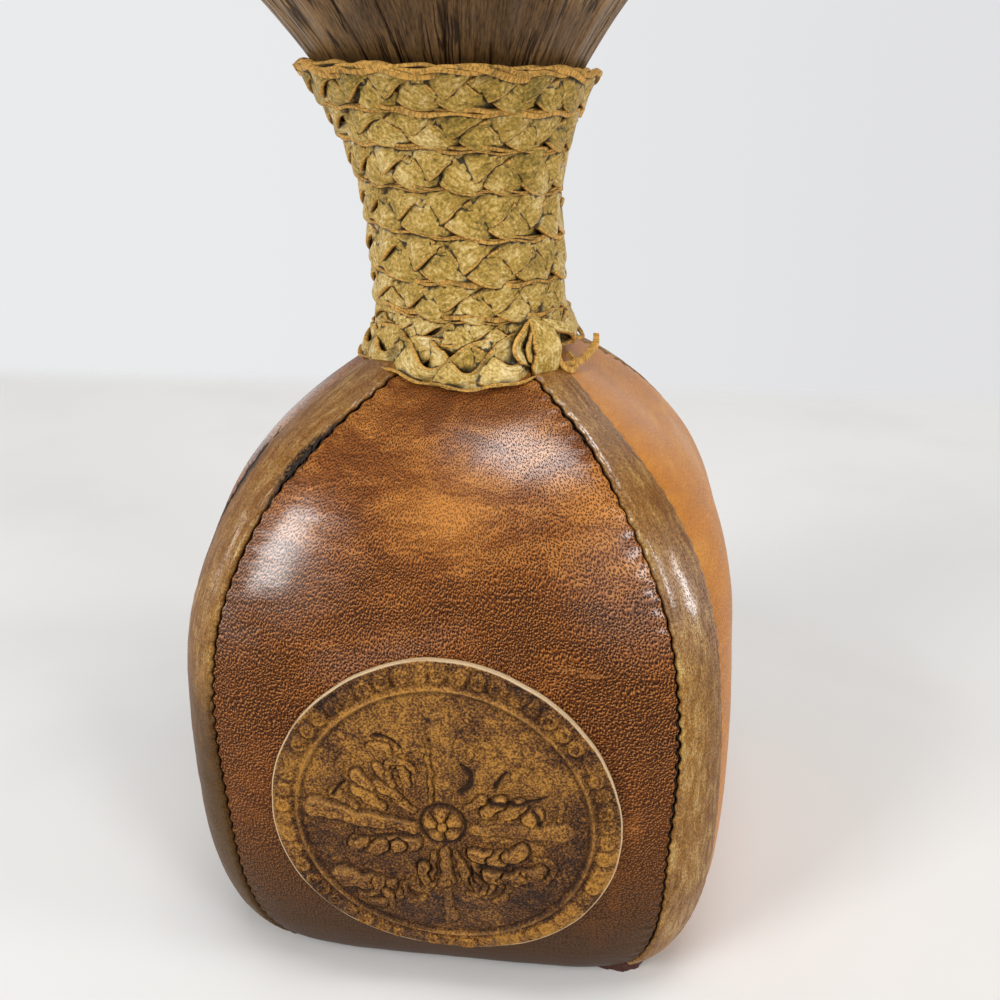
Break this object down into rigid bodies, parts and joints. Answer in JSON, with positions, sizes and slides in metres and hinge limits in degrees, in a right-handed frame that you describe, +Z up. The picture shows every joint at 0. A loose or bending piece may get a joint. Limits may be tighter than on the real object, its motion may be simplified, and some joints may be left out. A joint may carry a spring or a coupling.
{
  "type": "leather-wrapped decanter",
  "caption": "Square glass decanter in a sewn leather jacket with corner strips, a round embossed medallion, a braided neck, a flared leather mouth and a lift-out stopper.",
  "frame": {"origin": "centre of the base leather's resting face", "axes": "+Z up along the bottle, -Y towards the medallion side, +X to the right seen from the front"},
  "size_m": [0.1166, 0.1196, 0.229],
  "materials": {
    "bottle_glass": "smooth clear",
    "base_leather": "matt, red-brown",
    "chestnut_leather": "glossy pebbled grain",
    "tan_leather": "glossy pebbled grain",
    "strip_leather": "satin, streaked",
    "medallion_leather": "embossed, mottled",
    "sleeve_leather": "satin, gathered",
    "braid_leather": "dry, plaited",
    "waxed_thread": "waxed",
    "cork": "natural cork",
    "dowel_wood": "bare",
    "turned_wood": "oiled"
  },
  "bodies": {
    "bottle": {"glass_bottle": "bottle_glass", "base_patch": "base_leather", "front_panel": "chestnut_leather", "right_panel": "tan_leather", "back_panel": "tan_leather", "left_panel": "chestnut_leather", "back_right_strip": "strip_leather", "back_left_strip": "strip_leather", "front_left_strip": "strip_leather", "front_right_strip": "strip_leather", "back_right_strip_seam_1": "waxed_thread", "back_right_strip_seam_2": "waxed_thread", "back_left_strip_seam_1": "waxed_thread", "back_left_strip_seam_2": "waxed_thread", "front_left_strip_seam_1": "waxed_thread", "front_left_strip_seam_2": "waxed_thread", "front_right_strip_seam_1": "waxed_thread", "front_right_strip_seam_2": "waxed_thread", "medallion": "medallion_leather", "neck_sleeve": "sleeve_leather", "neck_braid": "braid_leather", "braid_tail": "braid_leather"},
    "stopper": {"stopper_cork": "cork", "stopper_pin": "dowel_wood", "stopper_knob": "turned_wood"}
  },
  "joints": [
    {"name": "stopper_lift", "type": "slide", "parent": "bottle", "child": "stopper", "axis": [-0.0599, 0, 0.9982], "range_m": [0, 0.09]}
  ]
}
